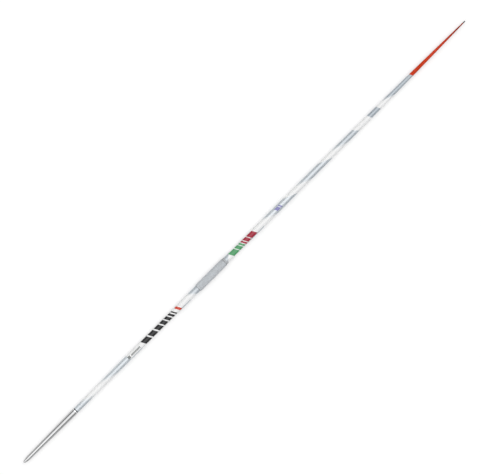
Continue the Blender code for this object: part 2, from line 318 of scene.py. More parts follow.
def silverBands(finish, low, high):
    # gives where the silver lies, and where it is deep, with painted shade deepening it down the
    # sides
    p = shaftPaint
    silver, deep = None, None
    bothFrom, bothTo, bothShare = p["shadeDownSides"]
    rightFrom, rightTo, rightShare = p["shadeDownRight"]
    for band in p["bands"]:
        first, last = min(band["start"]), max(band["end"])
        if last < low or first > high:
            continue
        radius = 1000 * shaftRadius((first + last) / 2000)
        across = finish.side / (2 * radius) + 0.5
        start = band["start"][0] + across * (band["start"][1] - band["start"][0])
        end = band["end"][0] + across * (band["end"][1] - band["end"][0])
        softStart, softEnd = band["soft"]
        mask = finish.ease(finish.along - start, -softStart, softStart)
        mask = mask * finish.ease(end - finish.along, -softEnd, softEnd)
        silver = mask if silver is None else silver.most(mask)
        # painted shade: the silver deepens down both sides, and more down the lower-right one
        both = finish.ease(abs(finish.side), bothFrom * radius, bothTo * radius)
        right = finish.ease(finish.side, rightFrom * radius, rightTo * radius)
        sideShade = both * bothShare + right * rightShare
        top, sides = band["depth"]
        depth = mask * (top + sideShade * (sides - top))
        deep = depth if deep is None else deep.most(depth)
    softStart, softEnd = p["streakSoft"]
    edgeFrom, edgeTo = p["streakEdge"]
    for streak in p["edgeStreaks"]:
        start, end = streak["from"], streak["to"]
        if end < low or start > high:
            continue
        radius = 1000 * shaftRadius((start + end) / 2000)
        mask = finish.ease(finish.side, edgeFrom * radius, edgeTo * radius)
        mask = mask * finish.ease(finish.along, start - softStart, start + softStart)
        mask = mask * finish.ease(finish.along, end + softEnd, end - softEnd)
        silver, deep = silver.most(mask), deep.most(mask * p["streakDepth"])
    return silver, deep


def silverFlake(finish, deep):
    # silver paint with fine bright flakes in it, and the relief of the flakes
    p = shaftPaint
    flake = finish.cells(p["flakeSize"])
    metal = finish.mix(deep, p["paleSilver"], p["deepSilver"])
    bright = finish.ease(flake, 0.15, 0.55) * p["flakeShare"]
    return finish.mix(bright, metal, (1, 1, 1)), flake


def printedMarks(finish, low, high, colour):
    p = shaftPaint
    onTop = finish.up > 0
    slanted = finish.along - finish.side * p["barSlant"]
    printed = None
    spans = [(start, width, bars) for bars in p["bars"] for start, width in bars["spans"]]
    for start, width, bars in spans:
        if start + width < low or start > high:
            continue
        mask = finish.within(slanted - (start + width / 2), width / 2, p["barSoft"])
        mask = mask * finish.within(finish.side, bars["reach"], p["barSoft"]) * onTop
        colour = finish.mix(mask, colour, p["colours"][bars["colour"]])
        printed = mask if printed is None else printed.most(mask)
    for row in p["ticks"]:
        if row["to"] < low or row["from"] > high:
            continue
        mask = finish.within(finish.side - p["ticksSide"], row["width"] / 2, p["tickSoft"])
        mask = mask * (finish.along > row["from"]) * (finish.along < row["to"]) * onTop
        mask = mask * ((finish.along - row["from"]) % row["pitch"] < row["mark"])
        colour = finish.mix(mask * row["ink"], colour, p["colours"]["grey"])
        printed = printed.most(mask)
    return colour, printed


def paintedTube(name, low, high):
    coat = {"Coat_Weight": 1.0, "Coat_Roughness": 0.06, "Coat_IOR": 1.5}
    finish = Finish(name, Specular_IOR_Level=0.0, **coat)
    p = shaftPaint
    silver, deep = silverBands(finish, low, high)
    metal, flake = silverFlake(finish, deep)
    cloud = finish.noise(60, 3, stretch=(3, 1, 1))
    greyer = tuple(0.975 * c for c in p["white"])
    white = finish.mix(finish.ease(cloud, 0.35, 0.7), p["white"], greyer)
    colour = finish.mix(silver, white, metal)
    colour, printed = printedMarks(finish, low, high, colour)
    tail = redTail(finish)
    colour = finish.mix(tail, colour, p["red"])
    # a dark bead behind the head: adhesive, drawn wide as painted shade for the step where the head
    # meets the shaft
    sealAndShade = finish.ease(finish.along, p["sealAndShadeEnd"] + 0.2, p["sealAndShadeEnd"] - 0.2)
    colour = finish.mix(sealAndShade, colour, p["sealAndShade"])
    hairs = finish.noise(0.5, 3, stretch=(60, 1, 1), at=(0, 3, 5))
    scuff = finish.ease(hairs, 0.66, 0.74) * finish.ease(finish.noise(25, 2), 0.5, 0.65)
    orangePeel = finish.noise(1.6, 1)
    height = orangePeel * 0.25 + printed * 0.6 + flake * silver * 0.12 - scuff * 0.5
    return finish.wear(
        Base_Color=colour,
        Metallic=silver * (1 - printed) * (1 - tail) * 0.45,
        Roughness=0.34 + silver * 0.02 + scuff * 0.25 + finish.noise(9, 3) * 0.06,
        Normal=finish.bump(height, 0.02),
    )


# Steel head: turned lines round it, a painted highlight and a painted shade line at the rear edge,
# painted shade towards the rear, dull and scratched at the tip

headSteel = {
    "steel": (0.635, 0.639, 0.645),
    "dull": (0.555, 0.559, 0.565),  # painted shade, darker towards the rear of the head
    # a painted highlight ring just ahead of the rear edge
    "bright": (0.86, 0.87, 0.88),
    # a painted shade line on the rear edge
    "dark": (0.10, 0.10, 0.105),
    "smear": (0.50, 0.49, 0.47),
    "scratch": (0.72, 0.72, 0.72),
    "shadeFrom": (60, 240),
    "scratchesTo": 120,
    "highlightRing": (262.0, 265.6),
    "rimShadeLine": 265.9,
}


def turnedSteel(name):
    finish = Finish(name, Metallic=1.0, Specular_Tint=(0.3, 0.3, 0.3, 1))
    p = headSteel
    lines = finish.noise(0.16, 3, stretch=(1, 160, 160))
    broad = finish.noise(3.0, 2, stretch=(1, 40, 40))
    smear = finish.noise(14, 4, stretch=(2.5, 1, 1))
    scratches = finish.noise(0.35, 3, stretch=(45, 1, 1), at=(2, 7, 1))
    nearTip = finish.ease(finish.along, p["scratchesTo"], 4)
    scratch = finish.ease(scratches, 0.60, 0.70) * (0.25 + nearTip * 0.75)
    # darker towards the rear: painted shade
    steel = finish.mix(finish.ease(finish.along, *p["shadeFrom"]), p["steel"], p["dull"])
    colour = finish.mix(lines * 0.5 + broad * 0.3, steel, tuple(0.88 * c for c in p["dull"]))
    colour = finish.mix(finish.ease(smear, 0.45, 0.75) * 0.25, colour, p["smear"])
    colour = finish.mix(scratch * 0.5, colour, p["scratch"])
    # a painted highlight ring just ahead of the rear edge
    first, last = p["highlightRing"]
    ring = finish.ease(finish.along, first - 0.3, first + 0.3)
    ring = ring * finish.ease(finish.along, last + 0.2, last - 0.2)
    colour = finish.mix(ring, colour, p["bright"])
    # a painted shade line on the rear edge itself
    edge = finish.ease(finish.along, p["rimShadeLine"] - 0.2, p["rimShadeLine"] + 0.2)
    colour = finish.mix(edge, colour, p["dark"])
    rough = 0.12 + lines * 0.08 + finish.ease(smear, 0.4, 0.8) * 0.07 + scratch * 0.2 - ring * 0.04
    return finish.wear(
        Base_Color=colour,
        Roughness=rough,
        Normal=finish.bump(lines * 0.7 + broad * 0.2 - scratch * 0.9, 0.012),
    )


boreSteel = {"light": (0.36, 0.36, 0.37), "dark": (0.26, 0.26, 0.27), "rust": (0.20, 0.13, 0.08)}


def rawSteel(name):
    finish = Finish(name, Metallic=1.0)
    p = boreSteel
    lines = finish.noise(0.5, 2, stretch=(1, 60, 60))
    rust = finish.ease(finish.noise(4, 4), 0.55, 0.75)
    colour = finish.mix(lines, p["light"], p["dark"])
    colour = finish.mix(rust * 0.35, colour, p["rust"])
    rough = 0.42 + rust * 0.25
    return finish.wear(Base_Color=colour, Roughness=rough, Normal=finish.bump(lines, 0.03))


# Tail: orange-red gloss with painted shade darkening it towards the end, chipped at the tip

tailPaint = {
    "red": (0.56, 0.034, 0.001),
    "deep": (0.49, 0.028, 0.001),
    # painted shade that darkens the red towards the end
    "dull": (0.22, 0.016, 0.004),
    "chip": (0.09, 0.09, 0.10),
    "shadeFrom": (2110, 2235),
    "chipsFrom": (2215, 2239),
}


def paintedTail(name):
    coat = {"Coat_Weight": 0.4, "Coat_Roughness": 0.08, "Coat_IOR": 1.5}
    finish = Finish(name, Specular_IOR_Level=0.0, **coat)
    p = tailPaint
    cloud = finish.noise(22, 3, stretch=(3, 1, 1))
    red = finish.mix(finish.ease(cloud, 0.35, 0.7), p["red"], p["deep"])
    # darker towards the end: painted shade
    red = finish.mix(finish.ease(finish.along, *p["shadeFrom"]) * 0.85, red, p["dull"])
    mask = redTail(finish)
    metal, flake = silverFlake(finish, 0.96)
    colour = finish.mix(mask, metal, red)
    chips = finish.ease(finish.noise(0.9, 3), 0.66, 0.70)
    chips = chips * finish.ease(finish.along, *p["chipsFrom"])
    colour = finish.mix(chips, colour, p["chip"])
    hairs = finish.noise(0.4, 3, stretch=(50, 1, 1), at=(4, 1, 2))
    scuff = finish.ease(hairs, 0.64, 0.72) * finish.ease(finish.noise(18, 2), 0.5, 0.65)
    height = finish.noise(1.5, 1) * 0.25 + flake * (1 - mask) * 0.12 - chips - scuff * 0.4
    return finish.wear(
        Base_Color=colour,
        Metallic=(1 - mask) * 0.45,
        Roughness=0.34 + chips * 0.3 + scuff * 0.2 + finish.noise(8, 3) * 0.06,
        Normal=finish.bump(height, 0.025),
    )


capPlastic = {
    "light": (0.085, 0.083, 0.085),
    "dark": (0.055, 0.054, 0.057),
    "worn": (0.22, 0.21, 0.21),
    "wornFrom": (2247.5, 2250),
}


def darkCap(name):
    finish = Finish(name, Specular_IOR_Level=0.45)
    p = capPlastic
    grain = finish.noise(0.25, 3)
    worn = finish.ease(finish.along, *p["wornFrom"]) * finish.ease(grain, 0.4, 0.6)
    colour = finish.mix(grain, p["light"], p["dark"])
    colour = finish.mix(worn * 0.6, colour, p["worn"])
    lines = finish.noise(0.3, 2, stretch=(1, 60, 60))
    return finish.wear(
        Base_Color=colour,
        Roughness=0.42 + grain * 0.15 + worn * 0.15,
        Normal=finish.bump(grain * 0.5 + lines * 0.5, 0.03),
    )


# Grip: a braided cord over cloth tape

gripCord = {
    "turns": 48,
    "plaitsPerTurn": 40,
    "pointsPerPlait": 3,
    "plaitDepth": 0.00016,  # how far the cord dips between its plaits
    "plaitSlant": 1.6,  # how far the plaits of its two sides lean into a V
    "yarnsPerPlait": 3,
    "yarnSlant": 34,
    "sides": 12,
    "breadth": 0.00270,
    "inside": 0.01330,
    "outside": 0.01514,
    "squareness": 0.85,  # of its section: 1 is an oval, less is nearer a box
    "endTurns": 1 / 12,  # each end thins out over this share of a turn
    "endFullness": 0.12,
    "margins": (0.01, 0.04),
    "endsOnMap": (0.004, 0.004),
    "light": (0.62, 0.65, 0.68),
    "shade": (0.40, 0.43, 0.46),
    "grime": (0.30, 0.29, 0.28),
    "fluff": (0.68, 0.71, 0.73),
}


def braidedCord(name):
    sheen = {"Sheen_Weight": 0.35, "Sheen_Roughness": 0.4}
    finish = Finish(name, Specular_IOR_Level=0.25, **sheen)
    p = gripCord
    pitch = 1000 * (javelin["cordLength"] - p["breadth"]) / p["turns"]
    first = 1000 * (javelin["gripStart"] + p["breadth"] / 2)
    # the winding starts underneath and climbs towards the photograph's upper left
    part = finish.math("ARCTAN2", finish.side * -1, finish.up * -1) / (2 * math.pi)
    across = (((finish.along - first) / pitch - part + 0.5) % 1.0) - 0.5  # over one strand
    strandEdgeShade = finish.ease(abs(across), 0.30, 0.50)
    lay = part * p["plaitsPerTurn"] + abs(across) * p["plaitSlant"]
    plait = finish.math("PINGPONG", lay, 0.5) * 2
    yarns = finish.math("PINGPONG", lay * 2 + across * 3, 0.5) * 2
    yarnWaves = 2 * math.pi * p["yarnsPerPlait"] * p["plaitsPerTurn"]
    yarn = (across * p["yarnSlant"] + part * yarnWaves).sine() * 0.5 + 0.5
    fluff = finish.noise(0.35, 4)
    blotch = finish.ease(finish.noise(14, 3), 0.42, 0.72)
    # the light colour on the plait crowns and the shade colour in the grooves and at the strand
    # edges: painted shade
    relief = finish.ease(plait, 0.0, 0.75) * 0.75 + yarns * 0.15 + yarn * 0.10
    colour = finish.mix(finish.ease(relief, 0.05, 0.75), p["shade"], p["light"])
    colour = finish.mix(strandEdgeShade * 0.55, colour, p["shade"])
    colour = finish.mix(blotch * 0.16, colour, p["grime"])
    colour = finish.mix(finish.ease(fluff, 0.55, 0.75) * 0.25, colour, p["fluff"])
    return finish.wear(
        Base_Color=colour,
        Roughness=0.74 + fluff * 0.2 - relief * 0.06,
        Normal=finish.bump(relief * 0.85 + fluff * 0.15, 0.16),
    )


gripTape = {
    "threadsRound": 118,  # a whole even number, so that the weave closes on itself
    "threadPitch": 0.7,
    "light": (0.50, 0.52, 0.535),
    "shade": (0.36, 0.375, 0.39),
    "underLight": (0.22, 0.225, 0.23),
    "underShade": (0.14, 0.145, 0.15),
}


def clothTape(name, light, shade):
    finish = Finish(name, Specular_IOR_Level=0.3)
    p = gripTape
    # threads along the javelin and round it
    turn, along = finish.turn * p["threadsRound"], finish.along * (2 * math.pi / p["threadPitch"])
    warp = turn.sine() * 0.5 + 0.5
    weft = along.sine() * 0.5 + 0.5
    over = ((turn / 2).sine() * (along / 2).sine()) > 0
    weave = warp * over + weft * (1 - over)
    lint = finish.noise(0.5, 3)
    grime = finish.ease(finish.noise(7, 3), 0.45, 0.75)
    colour = finish.mix(weave, shade, light)
    colour = finish.mix(grime * 0.25, colour, tuple(0.5 * c for c in shade))
    return finish.wear(
        Base_Color=colour,
        Roughness=0.66 + lint * 0.2,
        Normal=finish.bump(weave * 0.8 + lint * 0.2, 0.07),
    )


# Hidden pieces

slugBrass = {
    "bright": (0.78, 0.57, 0.24),
    "dull": (0.66, 0.46, 0.18),
    "tarnish": (0.42, 0.27, 0.11),
}
plugNylon = {"light": (0.72, 0.70, 0.64), "dark": (0.62, 0.60, 0.54)}
plugFoam = {
    "pores": 0.8,
    "smallPores": 0.35,
    "dark": (0.012, 0.012, 0.013),
    "light": (0.075, 0.075, 0.08),
}
# a two-by-two twill that closes on itself round the tube, under a thin film of resin
carbonTwill = {
    "tow": 1.6,
    "towsRound": 24,
    "dark": (0.018, 0.018, 0.020),
    "light": (0.055, 0.056, 0.060),
}


def brass(name):
    finish = Finish(name, Metallic=1.0)
    p = slugBrass
    lines = finish.noise(0.25, 3, stretch=(1, 80, 80))
    tarnish = finish.ease(finish.noise(3.5, 4), 0.42, 0.7)
    colour = finish.mix(lines, p["bright"], p["dull"])
    colour = finish.mix(tarnish * 0.4, colour, p["tarnish"])
    rough = 0.26 + tarnish * 0.2 + lines * 0.08
    return finish.wear(Base_Color=colour, Roughness=rough, Normal=finish.bump(lines, 0.03))


def nylon(name):
    depth = {"Subsurface_Weight": 0.15, "Subsurface_Scale": 0.002}
    finish = Finish(name, Specular_IOR_Level=0.45, **depth)
    lines = finish.noise(0.4, 2, stretch=(1, 60, 60))
    cloud = finish.noise(6, 3)
    colour = finish.mix(cloud, plugNylon["light"], plugNylon["dark"])
    rough = 0.44 + lines * 0.12
    return finish.wear(Base_Color=colour, Roughness=rough, Normal=finish.bump(lines, 0.03))


def foam(name):
    finish = Finish(name, Specular_IOR_Level=0.2)
    pores = finish.ease(finish.cells(plugFoam["pores"]), 0.1, 0.5)
    small = finish.ease(finish.cells(plugFoam["smallPores"]), 0.1, 0.5)
    colour = finish.mix(pores * 0.7 + small * 0.3, plugFoam["dark"], plugFoam["light"])
    return finish.wear(
        Base_Color=colour,
        Roughness=0.82 + small * 0.12,
        Normal=finish.bump(pores * 0.8 + small * 0.2, 0.25),
    )


def bareCarbon(name):
    finish = Finish(name, Coat_Weight=0.6, Coat_Roughness=0.12, Specular_IOR_Level=0.5)
    p = carbonTwill
    roundTube = finish.turn * (p["towsRound"] / (2 * math.pi))
    lengthwise = finish.along / p["tow"]
    diagonal = (finish.math("FLOOR", roundTube) + finish.math("FLOOR", lengthwise)) % 4.0
    over = diagonal < 1.5
    warp = ((roundTube % 1.0) * math.pi).sine()
    weft = ((lengthwise % 1.0) * math.pi).sine()
    crown = warp * over + weft * (1 - over)
    strands = finish.noise(0.12, 2, stretch=(12, 1, 1)) * over
    strands = strands + finish.noise(0.12, 2, stretch=(1, 12, 12)) * (1 - over)
    colour = finish.mix(over * 0.6 + strands * 0.4, p["dark"], p["light"])
    return finish.wear(
        Base_Color=colour,
        Roughness=0.30 + over * 0.14 + strands * 0.08,
        Normal=finish.bump(crown * 0.8 + strands * 0.2, 0.05),
    )


finishes = {
    "steel": turnedSteel("turned steel"),
    "rawSteel": rawSteel("raw steel"),
    "frontPaint": paintedTube("front paint", 180, 960),
    "rearPaint": paintedTube("rear paint", 950, 1980),
    "tailPaint": paintedTail("tail paint"),
    "cap": darkCap("dark cap"),
    "cord": braidedCord("braided cord"),
    "tape": clothTape("cloth tape", gripTape["light"], gripTape["shade"]),
    "underTape": clothTape("under tape", gripTape["underLight"], gripTape["underShade"]),
    "brass": brass("brass"),
    "nylon": nylon("nylon"),
    "foam": foam("foam"),
    "carbon": bareCarbon("bare carbon"),
}
print(f"{len(finishes)} finishes made")


# Turned pieces: an outline of (distance, radius) spun round the javelin's axis

turned = {
    "tiny": 1e-6,  # a radius below this lies on the axis
    "sharpFrom": math.radians(32),
    # the map for the baked textures: how much of it the bore gets, and the margins at the ends and
    # the sides of its strips
    "boreShare": 0.12,
    "margins": (0.008, 0.02),
}


def stations(radiusAt, start, end, step=0.012, inset=0.0):
    count = max(int(math.ceil(abs(end - start) / step)), 1)
    places = [start + (end - start) * i / count for i in range(count + 1)]
    return [(at, radiusAt(at) - inset) for at in places]


def rounded(corner, before, after, size, count=4):
    # swaps a corner of the outline for a small arc
    corner, before, after = (Vector(p) for p in (corner, before, after))
    first = corner + (before - corner).normalized() * size
    last = corner + (after - corner).normalized() * size
    shares = [i / count for i in range(count + 1)]
    return [tuple(first.lerp(corner, t).lerp(corner.lerp(last, t), t)) for t in shares]


def place(at, radius, angle):
    # angle is measured from straight down, towards the photograph's upper left
    return Vector((noseX + at, radius * math.sin(angle), axisZ - radius * math.cos(angle)))


def spin(body, outline, sides, shape):
    # a ring of points for each place of the outline, and how far along the outline each place is
    hollow = outline[0] == outline[-1]
    rings, reaches, reach = [], [], 0.0
    for i, (at, radius) in enumerate(outline):
        if i:
            back = at < outline[i - 1][0] - 1e-9
            reach += math.dist(outline[i - 1], (at, radius)) * (turned["boreShare"] if back else 1)
        reaches.append(reach)
        if hollow and i == len(outline) - 1:
            rings.append(rings[0])
        elif radius < turned["tiny"]:
            rings.append([body.verts.new(place(at, 0, 0))])
        else:
            radii = [shape(radius, k / sides) if shape else radius for k in range(sides)]
            angles = [2 * math.pi * k / sides for k in range(sides)]
            rings.append([body.verts.new(place(at, r, a)) for r, a in zip(radii, angles)])
    body.verts.index_update()
    return rings, reaches


def onMap(u, v, strip, count, margins):
    end, side = margins
    return end + (1 - 2 * end) * u, (strip + side + (1 - 2 * side) * v) / count


def strips(reaches, girth):
    # cuts a long outline into strips for the map: which strip each step is in, where that strip
    # starts, and the length of the longest
    steps = len(reaches) - 1
    count = max(round(math.sqrt(reaches[-1] / girth)), 1)
    strip, stripStart, stripOf, starts = 0, 0.0, [], []
    for i in range(steps):
        if reaches[i] - stripStart >= reaches[-1] / count and strip < count - 1:
            strip, stripStart = strip + 1, reaches[i]
        stripOf.append(strip)
        starts.append(stripStart)
    return stripOf, starts, max(reaches[i + 1] - starts[i] for i in range(steps))


def turnedPiece(name, node, slot, outline, skin, bore=None, boreFrom=None, sides=96, shape=None):
    body = bmesh.new()
    if outline[0][1] > turned["tiny"]:
        outline = [*outline, outline[0]]  # a hollow piece closes on itself
    rings, reaches = spin(body, outline, sides, shape)
    stripOf, starts, longest = strips(reaches, 2 * math.pi * max(radius for at, radius in outline))
    layer = body.loops.layers.uv.new("OFBake")
    for i, (a, b) in enumerate(zip(rings, rings[1:])):
        inside = bore is not None and boreFrom <= i
        for k in range(sides):
            n = (k + 1) % sides
            corners = [(a[k], 0, k), (a[n], 0, k + 1)] if len(a) > 1 else [(a[0], 0, k + 0.5)]
            corners += [(b[n], 1, k + 1), (b[k], 1, k)] if len(b) > 1 else [(b[0], 1, k + 0.5)]
            if len(corners) < 3:
                continue
            face = body.faces.new([corner[0] for corner in corners])
            face.material_index = 1 if inside else 0
            face.smooth = True
            for loop, (vert, end, angle) in zip(face.loops, corners):
                u = (reaches[i + end] - starts[i]) / longest
                strip, count = stripOf[i], stripOf[-1] + 1
                loop[layer].uv = onMap(u, angle / sides, strip, count, turned["margins"])
    bmesh.ops.recalc_face_normals(body, faces=body.faces)
    mesh = bpy.data.meshes.new(name)
    body.to_mesh(mesh)
    body.free()
    mesh.set_sharp_from_angle(angle=turned["sharpFrom"])
    mesh.materials.append(finishes[skin])
    if bore is not None:
        mesh.materials.append(finishes[bore])
    return dress(name, mesh, node)


def dress(name, mesh, node):
    thing = bpy.data.objects.new(name, mesh)
    bpy.context.scene.collection.objects.link(thing)
    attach(thing, "root")
    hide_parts(node)
    return thing


# Head

head = {
    "wall": 0.0005,
    "spigotWidth": 0.0090,
    "spigotLength": 0.020,
    "socketLength": 0.085,
    # a fine turned line before the rear edge: from, to, depth, and the share of it at each place
    "groove": (0.2606, 0.2618, 0.00013),
    "grooveShape": ((0.2, 0.75), (0.4, 1), (0.6, 1), (0.8, 0.75)),
    "edge": 0.00015,
    "spigotEdge": 0.0004,
    "rim": 0.00022,
    "rimLength": 0.0016,
    "slugLength": 0.006,
    "slugEdge": 0.0005,
    "slugMark": (0.0012, 0.0007),  # a drilled centre mark: its radius and depth
}
cavityFront = javelin["pointEnd"] + javelin["bondGap"] + head["spigotLength"]
tubeFront = javelin["headEnd"] - head["socketLength"]


def headBore(at):
    return headRadius(at) - head["wall"]


def makePoint():
    seam, spigot = javelin["pointEnd"], head["spigotWidth"] / 2
    rear = seam + head["spigotLength"]
    places = [seam * (i / 26) ** 2 for i in range(26)]  # closer together towards the tip
    outline = [(at, headRadius(at)) for at in places]
    edge = (seam, headRadius(seam))
    outline += rounded(edge, outline[-1], (seam, spigot), head["edge"])
    outline += [(seam, spigot)]
    outline += rounded((rear, spigot), (seam, spigot), (rear, 0), head["spigotEdge"])
    outline += [(rear, 0)]
    turnedPiece("turned_point", "head_point", "bright_steel", outline, "steel")


def makeHead():
    front, rear = javelin["pointEnd"] + javelin["seam"], javelin["headEnd"]
    seat = head["spigotWidth"] / 2 + javelin["bondGap"]
    start, end, depth = head["groove"]
    edge, rim = (front, headRadius(front)), (rear, headRadius(rear))
    outline = rounded(edge, (front, seat), (front + 0.001, edge[1]), head["edge"])
    outline += stations(headRadius, front + 0.0004, javelin["noseEnd"], 0.002)
    outline += stations(headRadius, javelin["noseEnd"], start, 0.008)[1:]
    for along, share in head["grooveShape"]:
        outline += [(start + (end - start) * along, headRadius(start) - depth * share)]
    outline += [(end, headRadius(end)), (rear - head["rimLength"], headRadius(rear))]
    outline += rounded(rim, (rear - 0.001, rim[1]), (rear, rim[1] - 0.001), head["rim"])
    boreFrom = len(outline)
    outline += stations(headBore, rear, cavityFront, 0.016)
    outline += [(cavityFront, seat), (front, seat)]
    skins = ("steel", "rawSteel", boreFrom)
    turnedPiece("polished_head", "head_shell", "bright_steel", outline, *skins)


def makeSlug():
    front, gap = cavityFront + javelin["bondGap"], javelin["bondGap"]
    rear = front + head["slugLength"]
    first, last = (front, headBore(front) - gap), (rear, headBore(rear) - gap)
    markRadius, markDepth = head["slugMark"]
    outline = [(front, 0), *rounded(first, (front, 0), last, head["slugEdge"])]
    outline += rounded(last, first, (rear, 0), head["slugEdge"])
    outline += [(rear, markRadius), (rear - markDepth, 0)]
    turnedPiece("balance_weight", "head_balance_slug", "brass", outline, "brass", sides=64)


# Shaft

shaft = {
    "frontWall": 0.0030,
    "rearWall": 0.0033,
    "tailWall": 0.0022,
    "sleeveLength": 0.120,
    "sleeveWall": 0.0016,
    "plugFlange": 0.0020,
    "plugLength": 0.036,
    "plugWall": 0.0015,
    "spigotLength": 0.080,
    "damperLength": 0.030,
    "dampers": {"front_damper": 0.560, "rear_damper": 1.500},
    "frontEdge": 0.00025,
    "tailEdge": 0.0001,
    "plugEdges": (0.0005, 0.0004),
    "damperEdge": 0.0012,
    "sleeveEdge": 0.0004,
    "spigotEdge": 0.0006,
}


def frontBore(at):
    return shaftRadius(at) - shaft["frontWall"]


def rearBore(at):
    return shaftRadius(at) - shaft["rearWall"]


def tailBore(at):
    return shaftRadius(at) - shaft["tailWall"]


def makeFrontTube():
    gap, j = javelin["bondGap"], javelin
    shoulder, joint = j["headEnd"] + gap, jointAt - gap / 2
    outline = stations(headBore, tubeFront, shoulder - gap, 0.02, gap)
    outline += [(shoulder, outline[-1][1])]
    edge = (shoulder, shaftRadius(shoulder))
    below, behind = (shoulder, edge[1] - 0.001), (shoulder + 0.001, edge[1])
    outline += rounded(edge, below, behind, shaft["frontEdge"])
    outline += stations(shaftRadius, shoulder + 0.001, j["gripStart"])
    outline += [(joint, shaftRadius(joint))]
    boreFrom = len(outline)
    outline += [(joint, frontBore(joint))]
    outline += stations(frontBore, j["gripStart"], tubeFront, 0.03)
    skins = ("frontPaint", "carbon", boreFrom - 1)
    turnedPiece("front_tube", "front_shaft", "painted_carbon", outline, *skins)


def makeRearTube():
    gap, j = javelin["bondGap"], javelin
    joint, end = jointAt + gap / 2, j["tailStart"] - j["seam"] / 2
    outline = [(joint, shaftRadius(joint))]
    outline += stations(shaftRadius, j["gripEnd"], end - 0.0002)
    edge = (end, shaftRadius(end))
    outline += rounded(edge, outline[-1], (end, rearBore(end)), shaft["tailEdge"])
    boreFrom = len(outline)
    outline += stations(rearBore, end, j["gripEnd"], 0.03)
    outline += [(joint, rearBore(joint))]
    skins = ("rearPaint", "carbon", boreFrom - 1)
    turnedPiece("rear_tube", "rear_shaft", "painted_carbon", outline, *skins)


def makeNosePlug():
    gap = javelin["bondGap"]
    rear = tubeFront - gap
    front, cupEnd = rear - shaft["plugFlange"], rear + shaft["plugLength"]
    flange = headBore(front) - gap
    flangeEdge, lipEdge = shaft["plugEdges"]
    outline = [(front, 0)]
    outline += rounded((front, flange), (front, 0), (rear, flange), flangeEdge)
    outline += [(rear, flange)]
    outline += stations(frontBore, rear, cupEnd - 0.0005, 0.006, gap)
    lip = outline[-1][1]
    outline += rounded((cupEnd, lip), (rear, lip), (cupEnd, 0), lipEdge)
    cupFloor, inset = rear + shaft["plugFlange"], gap + shaft["plugWall"]
    outline += [*stations(frontBore, cupEnd, cupFloor, 0.012, inset), (cupFloor, 0)]
    turnedPiece("nose_plug", "shaft_nose_plug", "nylon", outline, "nylon", sides=64)


def makeDampers():
    gap, half = javelin["bondGap"], shaft["damperLength"] / 2
    for node, middle in shaft["dampers"].items():
        bore = frontBore if middle < jointAt else rearBore
        side = stations(bore, middle - half, middle + half, 0.005, gap)
        front, rear = (middle - half, 0), (middle + half, 0)
        outline = [front, *rounded(side[0], front, side[1], shaft["damperEdge"]), *side[1:-1]]
        outline += [*rounded(side[-1], side[-2], rear, shaft["damperEdge"]), rear]
        name = node.replace("damper", "foam_plug")
        turnedPiece(name, node, "foam_rubber", outline, "foam", sides=64)


def makeSleeve():
    gap, half = javelin["bondGap"], shaft["sleeveLength"] / 2
    bore = min(frontBore(jointAt), rearBore(jointAt)) - gap - shaft["sleeveWall"]
    front, rear = jointAt - half, jointAt + half
    first, last, edge = frontBore(front) - gap, rearBore(rear) - gap, shaft["sleeveEdge"]
    outline = rounded((front, first), (front, bore), (jointAt, first), edge)
    outline += stations(frontBore, front + 0.002, jointAt - gap, 0.01, gap)
    outline += stations(rearBore, jointAt + gap, rear - 0.002, 0.01, gap)
    outline += rounded((rear, last), (jointAt, last), (rear, bore), edge)
    outline += [(rear, bore), (front, bore)]
    turnedPiece("joining_sleeve", "centre_sleeve", "bare_carbon", outline, "carbon", sides=64)


def makeTailSpigot():
    gap, j, half = javelin["bondGap"], javelin, shaft["spigotLength"] / 2
    front, rear, edge = j["tailStart"] - half, j["tailStart"] + half, shaft["spigotEdge"]
    outline = [(front, 0)]
    outline += rounded((front, rearBore(front) - gap), (front, 0), (rear, rearBore(front)), edge)
    outline += stations(rearBore, front + 0.002, j["tailStart"] - gap, 0.01, gap)
    outline += stations(tailBore, j["tailStart"] + gap, rear - 0.002, 0.01, gap)
    outline += rounded((rear, tailBore(rear) - gap), (front, tailBore(rear)), (rear, 0), edge)
    outline += [(rear, 0)]
    turnedPiece("tail_rod", "tail_spigot", "bare_carbon", outline, "carbon", sides=64)


# Tail

tail = {
    "boreDepth": 0.180,
    "edge": 0.0001,
    "capPinWidth": 0.0020,
    "capPinLength": 0.012,
    "capEdge": 0.00015,
    "capRound": 0.0009,
}


def makeTail():
    gap, j = javelin["bondGap"], javelin
    front, rear = j["tailStart"] + j["seam"] / 2, j["capStart"] - j["seam"]
    boreEnd, pinSeat = j["tailStart"] + tail["boreDepth"], tail["capPinWidth"] / 2 + gap
    edge = (front, shaftRadius(front))
    outline = rounded(edge, (front, tailBore(front)), (front + 0.001, edge[1]), tail["edge"])
    outline += stations(shaftRadius, front + 0.0005, rear - 0.0002, 0.009)
    outline += rounded((rear, shaftRadius(rear)), outline[-1], (rear, pinSeat), tail["edge"])
    boreFrom = len(outline)
    outline += [(rear, pinSeat), (boreEnd, pinSeat)]
    outline += stations(tailBore, boreEnd, front, 0.03)
    skins = ("tailPaint", "carbon", boreFrom - 1)
    turnedPiece("red_tail", "tail_cone", "red_carbon", outline, *skins, sides=72)


def makeCap():
    pin, start, end = tail["capPinWidth"] / 2, javelin["capStart"], javelin["length"]
    pinEnd, radius = start - tail["capPinLength"], shaftRadius(start)
    outline = [(pinEnd, 0), (pinEnd, pin), (start, pin)]
    outline += rounded((start, radius), (start, pin), (end, radius), tail["capEdge"])
    outline += stations(shaftRadius, start + 0.001, end - 0.001, 0.002)
    tip = (end, shaftRadius(end))
    outline += rounded(tip, outline[-1], (end, 0), tail["capRound"], 6)
    outline += [(end, 0)]
    turnedPiece("tail_end", "tail_cap", "dark_cap", outline, "cap", sides=48)


# Grip

